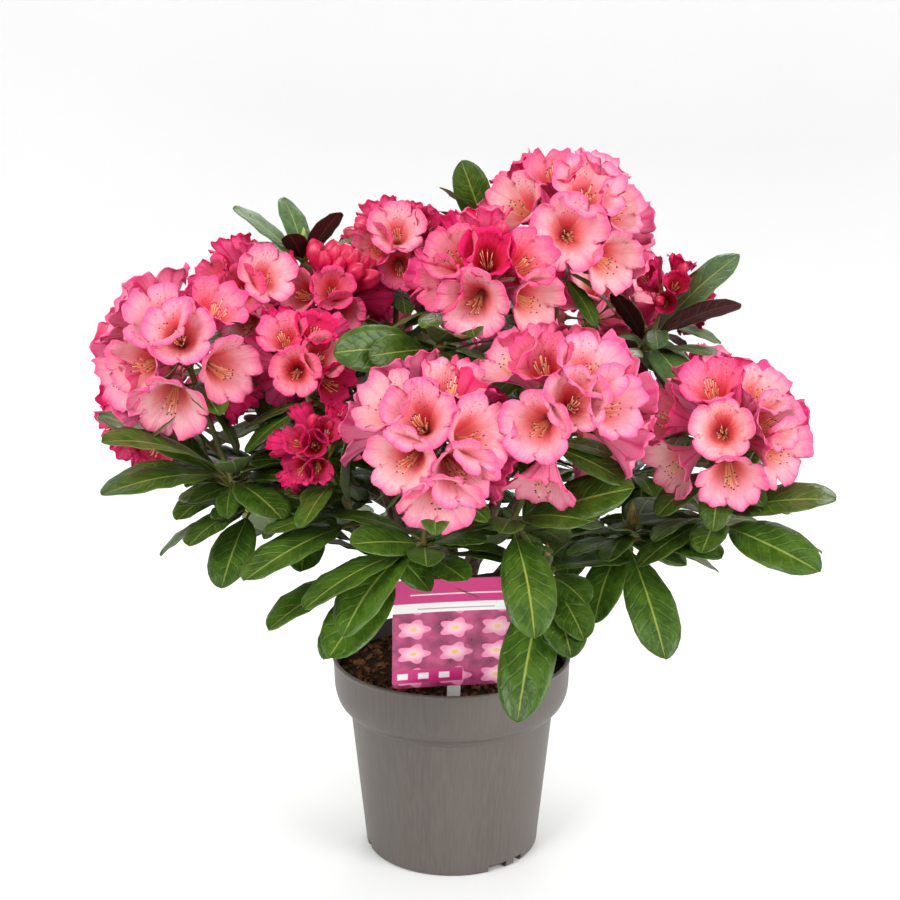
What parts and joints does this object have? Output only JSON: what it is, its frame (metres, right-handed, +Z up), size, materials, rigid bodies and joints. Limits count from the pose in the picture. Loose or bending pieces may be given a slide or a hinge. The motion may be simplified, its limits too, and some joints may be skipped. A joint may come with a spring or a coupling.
{
  "type": "potted rhododendron",
  "caption": "Flowering rhododendron shrub with trunk, boughs and masses of leaves and blossom, standing in a round nursery pot with soil and a plant label.",
  "frame": {"origin": "middle of the pot's flat underside", "axes": "+Z up, -Y towards the front, where the plant label faces, +X to the right seen from the front"},
  "size_m": [0.6882, 0.6063, 0.6758],
  "materials": {
    "pot_plastic": "satin",
    "soil": "rough",
    "bark": "rough",
    "foliage": "satin",
    "label_card": "printed",
    "label_stick": "satin"
  },
  "bodies": {
    "root": {"pot": "pot_plastic", "soil": "soil", "label_card": "label_card", "label_stick": "label_stick", "trunk": "bark", "bough_top": "bark", "bough_left": "bark", "bough_front_left": "bark", "bough_right": "bark", "bough_back": "bark", "bough_back_right": "bark", "bough_heart": "bark", "bough_high_right": "bark", "bough_high_left": "bark", "bough_mid_left": "bark", "bough_front_right": "bark", "bough_back_left": "bark", "mass_top": "foliage", "mass_heart": "foliage", "mass_high_left": "foliage", "mass_left": "foliage", "mass_mid_left": "foliage", "mass_front_left": "foliage", "mass_front_right": "foliage", "mass_right": "foliage", "mass_high_right": "foliage", "mass_back": "foliage", "mass_back_left": "foliage", "mass_back_right": "foliage"}
  },
  "joints": []
}
